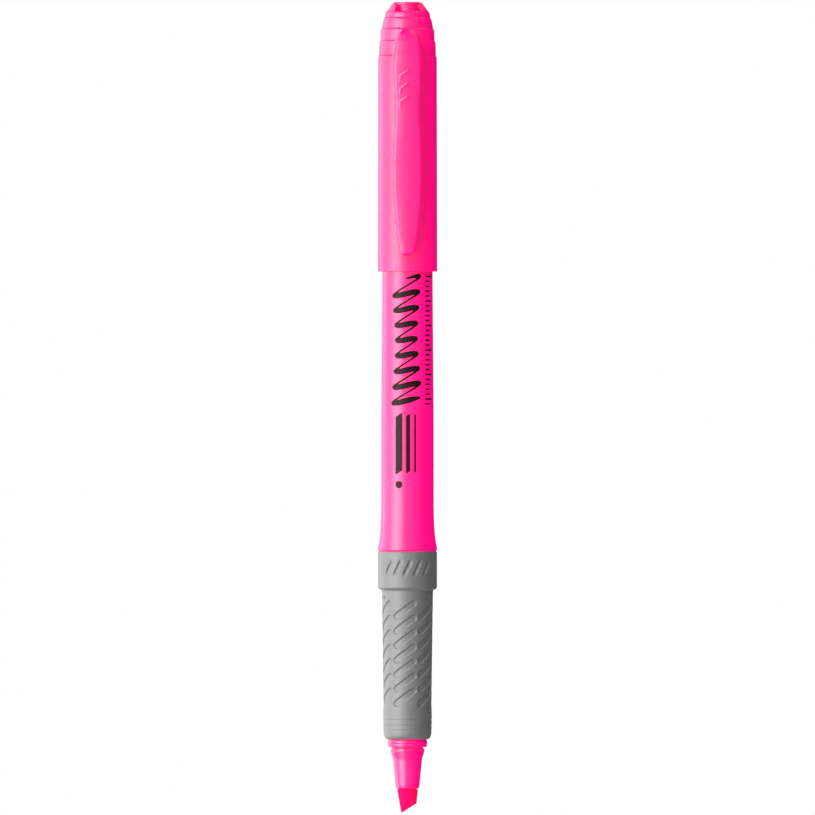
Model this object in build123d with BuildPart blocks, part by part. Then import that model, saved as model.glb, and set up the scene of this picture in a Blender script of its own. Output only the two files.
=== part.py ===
from build123d import *

import os
from math import cos, radians, sin

# A capped chisel-tip highlighter with a rubber grip, its cap posted on the rear of the barrel.
# Millimetres. The pen stands nib down. +Z runs along its axis towards the rear end and the crown of the
# posted cap, -Y is the side the clip is on, and the origin is the centre of the grip's collar.

os.makedirs("parts", exist_ok=True)

# ---------------------------------------------------------------- driving dimensions
# Lengths along the pen, from the nib upwards.
NIB_SHOWN = 4.8
CONE_LENGTH = 8.0
GROOVE_LENGTH = 0.4
RING_LENGTH = 1.6
GRIP_LENGTH = 29.8
COLLAR_LENGTH = 7.6
BARREL_SHOWN = 56.0
CAP_LENGTH = 54.0
POST_DEPTH = 24.0

# Radii of what a hand or another part touches.
NIB_RADIUS = 2.05
RING_RADIUS = 3.97
GRIP_FRONT_RADIUS = 4.8
GRIP_REAR_RADIUS = 5.1
COLLAR_RADIUS = 5.9
FOOT_RADIUS = 5.93
BARREL_RADIUS = 5.26
POST_RADIUS = 4.97
CAP_MOUTH_RADIUS = 5.945
CAP_TOP_RADIUS = 5.87
CROWN_RADIUS = 2.45
STEM_RADIUS = 2.05

# Walls and fits.
FIXED_GAP = 0.02
RUNNING_GAP = 0.03
NECK_RADIUS = 4.03
NECK_BORE = 3.22
BARREL_BORE = 4.3
CAP_BORE = 5.18
CORE_RADIUS = 3.0
FILM_WALL = 0.1

# ---------------------------------------------------------------- stations along Z
collar_top = COLLAR_LENGTH / 2
shoulder = -COLLAR_LENGTH / 2
grip_end = shoulder - GRIP_LENGTH
ring_end = grip_end - RING_LENGTH
cone_top = ring_end - GROOVE_LENGTH
cone_end = cone_top - CONE_LENGTH
nib_tip = cone_end - NIB_SHOWN
cap_mouth = collar_top + BARREL_SHOWN
crown = cap_mouth + CAP_LENGTH
barrel_end = cap_mouth + POST_DEPTH


def facing(angle):
    """The plane through the axis that faces outwards at this angle from the clip's side, Z up in it."""
    turn = radians(angle)
    return Plane(origin=(0, 0, 0), x_dir=(cos(turn), sin(turn), 0), z_dir=(sin(turn), -cos(turn), 0))


# ---------------------------------------------------------------- barrel
PLUG_FLANGE = 0.9
FOOT_BAND = 0.8
FLARE_LENGTH = 9.2
NECK_END = grip_end + 0.2
TUBE_END = barrel_end - PLUG_FLANGE
RIB_COUNT = 6
BARREL_RIB_WIDTH = 0.8
film_radius = CORE_RADIUS + FILM_WALL
foot_top = collar_top + FOOT_BAND
flare_top = collar_top + FLARE_LENGTH

with BuildPart() as barrel:
    with BuildSketch(Plane.XZ):
        with BuildLine():
            neck = Polyline(
                (NECK_BORE, NECK_END), (NECK_RADIUS, NECK_END), (NECK_RADIUS, collar_top), (5.84, collar_top)
            )
            foot = ThreePointArc(neck @ 1, (5.91, collar_top + 0.3), (FOOT_RADIUS, foot_top))
            flare = Bezier(
                foot @ 1, (5.55, foot_top + 1.3), (5.3, foot_top + 3.9), (BARREL_RADIUS, flare_top)
            )
            side = Spline(
                flare @ 1,
                (5.235, 31.0),
                (5.06, 55.0),
                (POST_RADIUS, 68.0),
                tangents=((-0.003, 1), (0, 1)),
            )
            Polyline(
                side @ 1,
                (POST_RADIUS, TUBE_END),
                (BARREL_BORE, TUBE_END),
                (BARREL_BORE, collar_top + 3.0),
                (NECK_BORE, collar_top + 0.8),
                neck @ 0,
            )
        make_face()
    revolve(axis=Axis.Z)
    rear_rim = barrel.edges().filter_by(GeomType.CIRCLE).group_by(Axis.Z)[-1].sort_by(SortBy.RADIUS)[-1]
    fillet(rear_rim, 0.25)
    # Ribs down the wide bore centre the reservoir and leave air room round it.
    rib_inner = film_radius + 0.04
    rib_depth = BARREL_BORE + 0.2 - rib_inner
    with BuildSketch(Plane.XY.offset(collar_top + 3.0)):
        with PolarLocations(rib_inner + rib_depth / 2, RIB_COUNT):
            Rectangle(rib_depth, BARREL_RIB_WIDTH)
    extrude(amount=barrel_end - 16 - collar_top)
barrel.part.label = "barrel"
export_step(barrel.part, "parts/barrel.step")

# ---------------------------------------------------------------- nib holder
SPIGOT_LENGTH = 8.0
SPIGOT_RADIUS = NECK_BORE - FIXED_GAP
NIB_BORE = NIB_RADIUS + FIXED_GAP
VENT_COUNT = 4
VENT_WIDTH = 0.7
VENT_RADIUS = 2.45
LIP_RADIUS = 2.27

with BuildPart() as nib_holder:
    with BuildSketch(Plane.XZ):
        with BuildLine():
            spigot = Polyline(
                (NIB_BORE, NECK_END + SPIGOT_LENGTH),
                (SPIGOT_RADIUS - 0.2, NECK_END + SPIGOT_LENGTH),
                (SPIGOT_RADIUS, NECK_END + SPIGOT_LENGTH - 0.8),
                (SPIGOT_RADIUS, NECK_END - FIXED_GAP),
                (RING_RADIUS, NECK_END - FIXED_GAP),
                (RING_RADIUS, grip_end - 0.75),
                (RING_RADIUS - 0.07, grip_end - 0.9),
                (RING_RADIUS - 0.07, ring_end + 0.12),
                (RING_RADIUS - 0.19, ring_end),
                (3.12, ring_end),
                (3.12, cone_top),
                (3.33, cone_top),
                (3.39, cone_top - 0.06),
                (3.39, cone_top - 0.4),
            )
            waist = Bezier(spigot @ 1, (3.33, cone_top - 1.2), (2.97, cone_top - 1.6), (2.89, cone_top - 2.3))
            cone = Line(waist @ 1, (LIP_RADIUS + 0.06, cone_end + 0.5))
            lip = ThreePointArc(cone @ 1, (LIP_RADIUS + 0.01, cone_end + 0.1), (LIP_RADIUS - 0.07, cone_end))
            Polyline(lip @ 1, (NIB_BORE, cone_end), spigot @ 0)
        make_face()
    revolve(axis=Axis.Z)
    # Air channels beside the nib let the reservoir breathe. They stop short of the lip, which stays round.
    with BuildSketch(Plane.XY.offset(cone_end + 5.0)):
        with PolarLocations(NIB_BORE - 0.2 + (VENT_RADIUS - NIB_BORE + 0.2) / 2, VENT_COUNT):
            Rectangle(VENT_RADIUS - NIB_BORE + 0.2, VENT_WIDTH)
    extrude(amount=CONE_LENGTH + SPIGOT_LENGTH + 10, mode=Mode.SUBTRACT)
nib_holder.part.label = "nib_holder"
export_step(nib_holder.part, "parts/nib_holder.step")

# ---------------------------------------------------------------- nib
NIB_IN_CORE = 5.0
CORE_FRONT = NECK_END + SPIGOT_LENGTH + 0.2
NIB_REAR = CORE_FRONT + NIB_IN_CORE
NIB_CLEAR = 3.0
CHISEL_HALF_WIDTH = 1.3
CHISEL_HALF_THICKNESS = 0.62
CHISEL_CORNER = 1.1
CHISEL_RISE = 1.68

with BuildPart() as nib:
    with BuildSketch(Plane.XZ):
        with BuildLine():
            Polyline(
                (0, nib_tip),
                (CHISEL_HALF_WIDTH, nib_tip),
                (NIB_RADIUS, cone_end - 0.1),
                (NIB_RADIUS, NIB_REAR - 0.8),
                (NIB_RADIUS - 0.6, NIB_REAR),
                (0, NIB_REAR),
                close=True,
            )
        make_face()
    revolve(axis=Axis.Z)
    # Two ground flats leave the chisel's edge across X.
    with BuildSketch(Plane.YZ):
        with BuildLine():
            Polyline(
                (CHISEL_HALF_THICKNESS, nib_tip - 0.1),
                (NIB_RADIUS + 0.1, cone_end - 0.35),
                (NIB_CLEAR, cone_end - 0.35),
                (NIB_CLEAR, nib_tip - 0.1),
                close=True,
            )
        make_face()
        mirror(about=Plane.YZ)
    extrude(amount=NIB_CLEAR, both=True, mode=Mode.SUBTRACT)
    # The writing edge slants: its long corner is on the -X side.
    with BuildSketch(Plane.XZ):
        with BuildLine():
            Polyline(
                (-CHISEL_CORNER, nib_tip),
                (CHISEL_HALF_WIDTH + 0.3, nib_tip + CHISEL_RISE),
                (NIB_CLEAR, nib_tip + CHISEL_RISE),
                (NIB_CLEAR, nib_tip - 1.0),
                (-CHISEL_CORNER, nib_tip - 1.0),
                close=True,
            )
        make_face()
    extrude(amount=NIB_CLEAR, both=True, mode=Mode.SUBTRACT)
nib.part.label = "nib"
export_step(nib.part, "parts/nib.step")

# ---------------------------------------------------------------- reservoir
CORE_REAR = barrel_end - 8.2

with BuildPart() as reservoir_core:
    with BuildSketch(Plane.XY.offset(CORE_FRONT)):
        Circle(CORE_RADIUS)
    extrude(amount=CORE_REAR - CORE_FRONT)
    # The nib's rear end is pushed into the fibres.
    with BuildSketch(Plane.XY.offset(CORE_FRONT)):
        Circle(NIB_RADIUS + FIXED_GAP)
    extrude(amount=NIB_IN_CORE + FIXED_GAP, mode=Mode.SUBTRACT)
    chamfer(reservoir_core.edges().filter_by(GeomType.CIRCLE).group_by(Axis.Z)[-1], 0.3)
reservoir_core.part.label = "reservoir_core"
export_step(reservoir_core.part, "parts/reservoir_core.step")

with BuildPart() as reservoir_film:
    with BuildSketch(Plane.XY.offset(CORE_FRONT + 0.4)):
        Circle(film_radius)
        Circle(CORE_RADIUS, mode=Mode.SUBTRACT)
    extrude(amount=CORE_REAR - CORE_FRONT - 1.2)
reservoir_film.part.label = "reservoir_film"
export_step(reservoir_film.part, "parts/reservoir_film.step")

# ---------------------------------------------------------------- end plug
SKIRT_LENGTH = 5.5
SKIRT_RADIUS = BARREL_BORE - FIXED_GAP
PLUG_RADIUS = POST_RADIUS - 0.12

with BuildPart() as end_plug:
    with BuildSketch(Plane.XZ):
        with BuildLine():
            rim = Polyline(
                (0, TUBE_END - 1.0),
                (SKIRT_RADIUS - 0.9, TUBE_END - 1.0),
                (SKIRT_RADIUS - 0.9, TUBE_END - SKIRT_LENGTH),
                (SKIRT_RADIUS - 0.25, TUBE_END - SKIRT_LENGTH),
                (SKIRT_RADIUS, TUBE_END - SKIRT_LENGTH + 0.6),
                (SKIRT_RADIUS, TUBE_END + FIXED_GAP),
                (PLUG_RADIUS, TUBE_END + FIXED_GAP),
            )
            edge = ThreePointArc(
                rim @ 1, (PLUG_RADIUS - 0.15, barrel_end - 0.3), (PLUG_RADIUS - 0.75, barrel_end)
            )
            dimple = TangentArc((0, barrel_end - 0.35), (2.2, barrel_end), tangent=(1, 0))
            Line(edge @ 1, dimple @ 1)
            Line(dimple @ 0, rim @ 0)
        make_face()
    revolve(axis=Axis.Z)
    # A cross of fins holds the reservoir forward and lets air past it.
    fin_length = TUBE_END - 0.9 - CORE_REAR - 0.1
    fin_span = 2 * (SKIRT_RADIUS - 0.6)
    with BuildSketch(Plane.XY.offset(TUBE_END - 0.9)):
        Rectangle(fin_span, 0.7)
        Rectangle(0.7, fin_span)
    extrude(amount=-fin_length)
end_plug.part.label = "end_plug"
export_step(end_plug.part, "parts/end_plug.step")

# ---------------------------------------------------------------- grip sleeve
POCKET_COLUMNS = 6
POCKET_ROWS = 7
POCKET_PITCH = 2.9
POCKET_WIDTH = 1.38
POCKET_REACH = 4.15
POCKET_ANGLE = 38.0
POCKET_DEPTH = 0.22
FIRST_COLUMN = -6.5
first_row = shoulder - 4.1
DIMPLE_RADIUS = 0.36
MARK_COUNT = 5
MARK_SPACING = 20.0
MARK_HEIGHT = 0.5
MARK_LENGTH = 2.9
MARK_WIDTH = 0.75
MARK_ANGLE = 62.0
MARK_DEPTH = 0.18
TOOL_START = 3.0
TOOL_REACH = 4.0
BAND_RADIUS = GRIP_FRONT_RADIUS + 0.06
band_grooves = [grip_end + 3.9, grip_end + 2.95, grip_end + 2.0]

# The pockets and the dots above every other column are cut straight in, down to a floor of even depth.
with BuildPart() as pocket_tool:
    for column in range(POCKET_COLUMNS):
        outward = facing(FIRST_COLUMN + column * 360 / POCKET_COLUMNS)
        with BuildSketch(outward.offset(TOOL_START)):
            with Locations(*[(0, first_row - row * POCKET_PITCH) for row in range(POCKET_ROWS)]):
                SlotCenterToCenter(POCKET_REACH, POCKET_WIDTH, rotation=POCKET_ANGLE)
            if column % 2:
                with Locations((0, shoulder - 1.55)):
                    Circle(DIMPLE_RADIUS)
        extrude(amount=TOOL_REACH)
    with BuildSketch(Plane.XZ):
        with BuildLine():
            Polyline(
                (0, grip_end),
                (GRIP_FRONT_RADIUS - POCKET_DEPTH - 0.06, grip_end),
                (GRIP_REAR_RADIUS - POCKET_DEPTH, shoulder),
                (0, shoulder),
                close=True,
            )
        make_face()
    revolve(axis=Axis.Z, mode=Mode.SUBTRACT)

# A row of plain slanted bars round the front of the collar, in place of lettering.
with BuildPart() as mark_tool:
    for mark in range(MARK_COUNT):
        outward = facing((mark - (MARK_COUNT - 1) / 2) * MARK_SPACING)
        with BuildSketch(outward.offset(TOOL_START)):
            with Locations((0, MARK_HEIGHT)):
                SlotOverall(MARK_LENGTH, MARK_WIDTH, rotation=MARK_ANGLE)
        extrude(amount=TOOL_REACH)
    with BuildSketch(Plane.XY.offset(shoulder)):
        Circle(COLLAR_RADIUS - MARK_DEPTH)
    extrude(amount=COLLAR_LENGTH, mode=Mode.SUBTRACT)

with BuildPart() as grip_sleeve:
    with BuildSketch(Plane.XZ):
        with BuildLine():
            collar = Polyline(
                (NECK_RADIUS + FIXED_GAP, grip_end),
                (NECK_RADIUS + FIXED_GAP, collar_top - FIXED_GAP),
                (COLLAR_RADIUS, collar_top - FIXED_GAP),
                (COLLAR_RADIUS, shoulder + 0.38),
                (COLLAR_RADIUS - 0.16, shoulder + 0.15),
                (GRIP_REAR_RADIUS + 0.05, shoulder - 0.12),
                (GRIP_REAR_RADIUS, shoulder - 0.3),
                (GRIP_FRONT_RADIUS, grip_end + 6.2),
                (BAND_RADIUS, grip_end + 5.3),
                (BAND_RADIUS - 0.04, grip_end + 1.3),
            )
            nose = Bezier(collar @ 1, (BAND_RADIUS - 0.08, grip_end + 0.5), (4.6, grip_end), (4.3, grip_end))
            Line(nose @ 1, collar @ 0)
        make_face()
    revolve(axis=Axis.Z)
    with BuildSketch(Plane.XZ):
        with Locations(*[(BAND_RADIUS + 0.12, height) for height in band_grooves]):
            Circle(0.22)
    revolve(axis=Axis.Z, mode=Mode.SUBTRACT)
    add(pocket_tool.part, mode=Mode.SUBTRACT)
    add(mark_tool.part, mode=Mode.SUBTRACT)
grip_sleeve.part.label = "grip_sleeve"
export_step(grip_sleeve.part, "parts/grip_sleeve.step")

# ---------------------------------------------------------------- inner cap
# It seals on the nib holder's ring when the cap is on the nib. Its lip stands just past where the grip's
# front end comes to, measured from the cap's mouth.
seal_lip = cap_mouth + GRIP_LENGTH + 0.3
cup_end = cap_mouth + GRIP_LENGTH + RING_LENGTH + GROOVE_LENGTH + CONE_LENGTH + NIB_SHOWN + 0.8
CROWN_THICKNESS = 0.55
PIN_RADIUS = 0.8
PIN_LENGTH = 1.5
FLANGE_RADIUS = 5.11
FLANGE_LENGTH = 1.5
stem_top = crown - CROWN_THICKNESS - RUNNING_GAP

with BuildPart() as inner_cap:
    with BuildSketch(Plane.XZ):
        with BuildLine():
            Polyline(
                (RING_RADIUS + 0.15, seal_lip),
                (FLANGE_RADIUS, seal_lip),
                (FLANGE_RADIUS, seal_lip + FLANGE_LENGTH),
                (4.5, seal_lip + FLANGE_LENGTH),
                (3.5, cup_end - 0.5),
                (3.0, cup_end + 0.7),
                (STEM_RADIUS, cup_end + 0.7),
                (STEM_RADIUS, stem_top),
                (PIN_RADIUS + RUNNING_GAP, stem_top),
                (PIN_RADIUS + RUNNING_GAP, stem_top - PIN_LENGTH),
                (0, stem_top - PIN_LENGTH),
                (0, cup_end),
                (2.4, cup_end),
                (2.8, cup_end - 0.4),
                (3.75, seal_lip + 2.2),
                (RING_RADIUS + 0.05, seal_lip + 1.5),
                (RING_RADIUS + 0.02, seal_lip + 1.0),
                (RING_RADIUS + 0.02, seal_lip + 0.5),
                close=True,
            )
        make_face()
    revolve(axis=Axis.Z)
    # Three notches in the flange pass the air that a swallowed cap has to let through.
    with BuildSketch(Plane.XY.offset(seal_lip - 0.5)):
        with PolarLocations(FLANGE_RADIUS + 0.2, 3, start_angle=30):
            Rectangle(1.2, 4.0)
    extrude(amount=FLANGE_LENGTH + 1.0, mode=Mode.SUBTRACT)
inner_cap.part.label = "inner_cap"
export_step(inner_cap.part, "parts/inner_cap.step")

# ---------------------------------------------------------------- clip outline, shared by its root and its blade
CLIP_TOP = crown - 5.6
CLIP_TIP = cap_mouth + 3.2
HINGE_HEIGHT = crown - 12.9
HINGE_OUT = 7.6
BLADE_HALF = 0.75
KNUCKLE_GAP = 0.04
ROOT_END = HINGE_HEIGHT + 0.45
CLIP_REACH = 12.0
CLIP_HALF_WIDTH = 3.2

with BuildSketch(Plane.XZ) as clip_outline:
    with BuildLine():
        tip = ThreePointArc((0, CLIP_TIP), (1.15, CLIP_TIP + 0.3), (1.75, CLIP_TIP + 1.2))
        side = Spline(
            tip @ 1,
            (2.73, CLIP_TIP + 9.2),
            (3.05, CLIP_TIP + 17.8),
            (2.64, CLIP_TIP + 30.8),
            (2.98, CLIP_TOP - 7.7),
            tangents=(tip % 1, (0, 1)),
        )
        arch = Bezier(side @ 1, (2.98, CLIP_TOP - 4.6), (2.6, CLIP_TOP - 1.3), (1.0, CLIP_TOP))
        Polyline(arch @ 1, (0, CLIP_TOP), tip @ 0)
    make_face()
    mirror(about=Plane.YZ)

# ---------------------------------------------------------------- cap shell
# Each terrace is a straight wall and a rounded edge, which ends in the crease below the next one.
TERRACES = [
    ((CAP_MOUTH_RADIUS, cap_mouth), (CAP_TOP_RADIUS, crown - 11.6)),
    ((5.69, crown - 10.8), (5.64, crown - 8.6)),
    ((5.42, crown - 7.8), (5.37, crown - 6.2)),
    ((5.12, crown - 5.35), (4.92, crown - 4.2)),
    ((4.57, crown - 3.2), (4.5, crown - 2.7)),
    ((4.3, crown - 2.15), (3.02, crown - 0.42)),
    ((CROWN_RADIUS, crown), (0, crown)),
]
POST_RIB_WIDTH = 0.9
POST_RIB_START = 10.0
WINDOW_SILL = 1.97
WINDOW_FLOOR = 1.2
FRONT_WINDOW = (-2.5, 3.28)
BACK_WINDOW = (-1.9, 1.9)
DISC_RADIUS = 2.65
SEAT_RADIUS = FLANGE_RADIUS + RUNNING_GAP
disc_under = crown - CROWN_THICKNESS
rib_radius = POST_RADIUS + RUNNING_GAP

# The clip's root is moulded on the cap. It ends in a hollow that the blade's round end turns in.
with BuildPart() as clip_root:
    with BuildSketch(Plane.YZ):
        with BuildLine():
            brow = Spline(
                (-5.3, CLIP_TOP),
                (-6.85, CLIP_TOP - 2.4),
                (-7.55, CLIP_TOP - 4.2),
                (-HINGE_OUT - BLADE_HALF, ROOT_END),
                tangents=((-0.63, -0.77), (0, -1)),
            )
            Polyline(brow @ 1, (0, ROOT_END), (0, CLIP_TOP), brow @ 0)
        make_face()
    extrude(amount=CLIP_HALF_WIDTH, both=True)
    with BuildSketch(Plane.YZ):
        with Locations((-HINGE_OUT, HINGE_HEIGHT)):
            Circle(BLADE_HALF + KNUCKLE_GAP)
    extrude(amount=CLIP_HALF_WIDTH, both=True, mode=Mode.SUBTRACT)
    extrude(clip_outline.sketch, amount=CLIP_REACH, mode=Mode.INTERSECT)

# Two windows under the crown's disc, cut straight in from the front and from the back. A web is left between
# them at either side of the inner cap's stem.
with BuildPart() as window_tool:
    for side_of_axis, (left, right) in ((-1, FRONT_WINDOW), (1, BACK_WINDOW)):
        middle = side_of_axis * (WINDOW_FLOOR + CAP_TOP_RADIUS) / 2
        with BuildSketch(Plane.XY.offset(crown - WINDOW_SILL)):
            with Locations(((left + right) / 2, middle)):
                Rectangle(right - left, CAP_TOP_RADIUS - WINDOW_FLOOR)
        extrude(amount=WINDOW_SILL + 0.2)
    with BuildSketch(Plane.XY.offset(disc_under)):
        Circle(DISC_RADIUS)
    extrude(amount=1.0, mode=Mode.SUBTRACT)

with BuildPart() as cap_shell:
    with BuildSketch(Plane.XZ):
        with BuildLine():
            for terrace, above in zip(TERRACES, TERRACES[1:]):
                wall = Line(*terrace)
                TangentArc(wall @ 1, above[0], tangent=wall % 1)
            Polyline(TERRACES[-1][0], (0, crown), (0, cap_mouth), TERRACES[0][0])
        make_face()
    revolve(axis=Axis.Z)
    add(clip_root.part)
    with BuildSketch(Plane.XZ):
        with BuildLine():
            Polyline(
                (PIN_RADIUS, disc_under),
                (2.3, disc_under),
                (2.3, crown - 0.9),
                (3.62, crown - 2.8),
                (5.0, crown - 12.8),
                (5.0, seal_lip + FLANGE_LENGTH + RUNNING_GAP),
                (SEAT_RADIUS, seal_lip + FLANGE_LENGTH + RUNNING_GAP),
                (SEAT_RADIUS, seal_lip - RUNNING_GAP),
                (5.04, seal_lip - 0.12),
                (5.04, seal_lip - 0.4),
                (CAP_BORE, seal_lip - 0.7),
                (CAP_BORE, cap_mouth + 0.5),
                (CAP_BORE + 0.15, cap_mouth),
                (0, cap_mouth),
                (0, disc_under - PIN_LENGTH + 0.1),
                (PIN_RADIUS, disc_under - PIN_LENGTH + 0.1),
                close=True,
            )
        make_face()
    revolve(axis=Axis.Z, mode=Mode.SUBTRACT)
    add(window_tool.part, mode=Mode.SUBTRACT)
    # Six low ribs inside grip the rear of the barrel while the cap is posted.
    with BuildSketch(Plane.XY.offset(cap_mouth + POST_RIB_START)):
        with PolarLocations((rib_radius + CAP_BORE + 0.1) / 2, RIB_COUNT):
            Rectangle(CAP_BORE + 0.1 - rib_radius, POST_RIB_WIDTH)
    extrude(amount=POST_DEPTH - POST_RIB_START)
cap_shell.part.label = "cap_shell"
export_step(cap_shell.part, "parts/cap_shell.step")

# ---------------------------------------------------------------- clip blade
NUB_HEIGHT = CLIP_TIP + 3.4
NUB_INNER = CAP_MOUTH_RADIUS + 0.07
BLADE_RIBS = 3
BLADE_RIB_PITCH = 2.65
BLADE_RIB_PROUD = 0.25
BLADE_RIB_LENGTH = 3.84
BLADE_RIB_WIDTH = 1.24
BLADE_RIB_ANGLE = 40.0
first_blade_rib = HINGE_HEIGHT - 1.6

with BuildPart() as clip:
    with BuildSketch(Plane.YZ):
        with BuildLine():
            outer = Spline(
                (-HINGE_OUT - BLADE_HALF, HINGE_HEIGHT),
                (-8.5, HINGE_HEIGHT - 16),
                (-8.05, CLIP_TIP + 1.0),
                tangents=((0, -1), (0.12, -1)),
            )
            toe = TangentArc(outer @ 1, (-7.0, CLIP_TIP + 0.05), tangent=outer % 1)
            nub = Spline(
                toe @ 1,
                (-NUB_INNER - 0.35, NUB_HEIGHT - 1.2),
                (-NUB_INNER, NUB_HEIGHT),
                (-NUB_INNER - 0.35, NUB_HEIGHT + 1.2),
                (-7.0, NUB_HEIGHT + 3.2),
                tangents=((0.6, 1), (-0.15, 1)),
            )
            Polyline(nub @ 1, (-HINGE_OUT + BLADE_HALF, HINGE_HEIGHT), outer @ 0)
        make_face()
        with Locations((-HINGE_OUT, HINGE_HEIGHT)):
            Circle(BLADE_HALF)
    extrude(amount=CLIP_HALF_WIDTH, both=True)
    extrude(clip_outline.sketch, amount=CLIP_REACH, mode=Mode.INTERSECT)
    with BuildSketch(Plane.XZ.offset(HINGE_OUT)):
        with Locations(*[(0, first_blade_rib - rib * BLADE_RIB_PITCH) for rib in range(BLADE_RIBS)]):
            SlotOverall(BLADE_RIB_LENGTH, BLADE_RIB_WIDTH, rotation=BLADE_RIB_ANGLE)
    extrude(amount=BLADE_HALF + BLADE_RIB_PROUD)
clip.part.label = "clip"
export_step(clip.part, "parts/clip.step")
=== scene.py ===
from math import atan2, cos, pi, radians, sin, tan

import bmesh
import bpy
import numpy as np
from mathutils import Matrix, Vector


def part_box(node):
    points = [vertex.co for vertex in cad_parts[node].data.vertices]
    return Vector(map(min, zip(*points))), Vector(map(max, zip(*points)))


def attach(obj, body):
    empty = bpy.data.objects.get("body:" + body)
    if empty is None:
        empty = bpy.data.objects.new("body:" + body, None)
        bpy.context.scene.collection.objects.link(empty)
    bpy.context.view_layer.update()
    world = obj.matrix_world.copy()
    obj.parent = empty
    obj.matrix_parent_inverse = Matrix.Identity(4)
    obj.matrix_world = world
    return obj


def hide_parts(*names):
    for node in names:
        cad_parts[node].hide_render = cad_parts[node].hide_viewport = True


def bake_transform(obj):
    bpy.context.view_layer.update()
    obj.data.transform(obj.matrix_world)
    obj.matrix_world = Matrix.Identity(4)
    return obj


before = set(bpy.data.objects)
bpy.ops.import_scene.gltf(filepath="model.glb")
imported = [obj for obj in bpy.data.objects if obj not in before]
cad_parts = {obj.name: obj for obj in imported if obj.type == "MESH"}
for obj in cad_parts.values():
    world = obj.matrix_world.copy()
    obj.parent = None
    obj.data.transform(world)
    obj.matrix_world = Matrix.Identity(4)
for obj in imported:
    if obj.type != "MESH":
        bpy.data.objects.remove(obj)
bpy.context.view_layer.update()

# A capped highlighter, nib down, its cap posted on the rear. All shapes are written in millimetres and
# turned into metres in piece(). Angles round the pen's axis run from the clip's side (-Y) towards +X.
MM = 0.001


def heights(node):
    """Lowest and highest point of a CAD node along the pen, in millimetres."""
    low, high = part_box(node)
    return low.z / MM, high.z / MM


NIB_TIP, NIB_REAR = heights("nib")
CONE_END, SPIGOT_END = heights("nib_holder")
GRIP_END, COLLAR_TOP = heights("grip_sleeve")
NECK_END, TUBE_END = heights("barrel")
CAP_MOUTH, CROWN = heights("cap_shell")
SEAL_LIP, STEM_TOP = heights("inner_cap")
CORE_FRONT, CORE_REAR = heights("reservoir_core")
FILM_FRONT, FILM_REAR = heights("reservoir_film")
CLIP_TIP = CAP_MOUTH + 3.2
CLIP_TOP = CROWN - 5.6
HINGE = CROWN - 12.9
SHOULDER = COLLAR_TOP - 7.58

# Radii that two or more pieces share, and the number of ribs in the barrel's bore and in the cap's.
NIB_RADIUS = 2.05
RING_RADIUS = 3.97
NECK_BORE, NECK_RADIUS = 3.22, 4.03
BARREL_BORE, POST_RADIUS = 4.3, 4.97
CAP_BORE, CAP_MOUTH_RADIUS = 5.18, 5.945
STEM_RADIUS, PIN_RADIUS = 2.05, 0.8
RIB_COUNT = 6


# ---------------------------------------------------------------- numbers and paths
def ease(low, high, x):
    """0 below low, 1 above high, and a smooth step between."""
    t = np.clip((np.asarray(x, float) - low) / (high - low), 0, 1)
    return t * t * (3 - 2 * t)


def wrap(angle):
    """The angle brought into the half turn either side of 0."""
    return (angle + pi) % (2 * pi) - pi


def bezier(a, b, c, d, steps):
    """The cubic curve from a to d that leaves towards b and arrives from c."""
    t = np.linspace(0, 1, steps)[:, None]
    a, b, c, d = (np.array(p, float) for p in (a, b, c, d))
    return (1 - t) ** 3 * a + 3 * t * (1 - t) ** 2 * b + 3 * t * t * (1 - t) * c + t**3 * d


def through(points, steps):
    """A smooth curve through all the points, with this many steps between each pair."""
    p = np.array(points, float)
    p = np.vstack([2 * p[0] - p[1], p, 2 * p[-1] - p[-2]])
    t = np.linspace(0, 1, steps, endpoint=False)[:, None]
    runs = [
        0.5 * (2 * b + (c - a) * t + (2 * a - 5 * b + 4 * c - d) * t**2 + (3 * b - a - 3 * c + d) * t**3)
        for a, b, c, d in zip(p, p[1:], p[2:], p[3:])
    ]
    return np.vstack(runs + [p[-2:-1]])


def tangent_arc(a, b, direction, steps):
    """The circular arc from a to b that leaves a in this direction, without its first point."""
    a, b, along = np.array(a, float), np.array(b, float), np.array(direction, float)
    along /= np.linalg.norm(along)
    across = np.array((-along[1], along[0]))
    chord = b - a
    radius = chord @ chord / (2 * chord @ across)
    centre = a + radius * across
    sweep = 2 * atan2(chord @ across, chord @ along)
    turns = np.linspace(0, sweep, steps + 1)[1:, None]
    out = a - centre
    return centre + out * np.cos(turns) + np.array((-out[1], out[0])) * np.sin(turns)


def softened(corners, steps=4):
    """A closed path with its corners rounded. A corner is (radius, height) or (radius, height, cut)."""
    points = [np.array(c[:2], float) for c in corners]
    path = []
    for i, corner in enumerate(corners):
        here, before, after = points[i], points[i - 1], points[(i + 1) % len(points)]
        cut = corner[2] if len(corner) > 2 else 0
        if not cut:
            path.append(here)
            continue
        start = here + (before - here) * min(0.48, cut / np.linalg.norm(before - here))
        end = here + (after - here) * min(0.48, cut / np.linalg.norm(after - here))
        for t in np.linspace(0, 1, steps + 1):
            path.append((1 - t) ** 2 * start + 2 * t * (1 - t) * here + t * t * end)
    return np.array(path)


# ---------------------------------------------------------------- meshes
def quads(rows, columns, rows_closed=True, columns_closed=True):
    """Faces of a grid of vertices, joined round in either direction."""
    index = np.arange(rows * columns).reshape(rows, columns)
    if rows_closed:
        index = np.vstack([index, index[:1]])
    if columns_closed:
        index = np.hstack([index, index[:, :1]])
    corners = [index[:-1, :-1], index[:-1, 1:], index[1:, 1:], index[1:, :-1]]
    return np.stack(corners, -1).reshape(-1, 4)


def capped_quads(rows, columns):
    """Faces of a tube made of rings of vertices, with a face across each of its ends."""
    faces = [list(f) for f in quads(rows, columns, rows_closed=False)]
    return faces + [list(range(columns)), list(range((rows - 1) * columns, rows * columns))]


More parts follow.
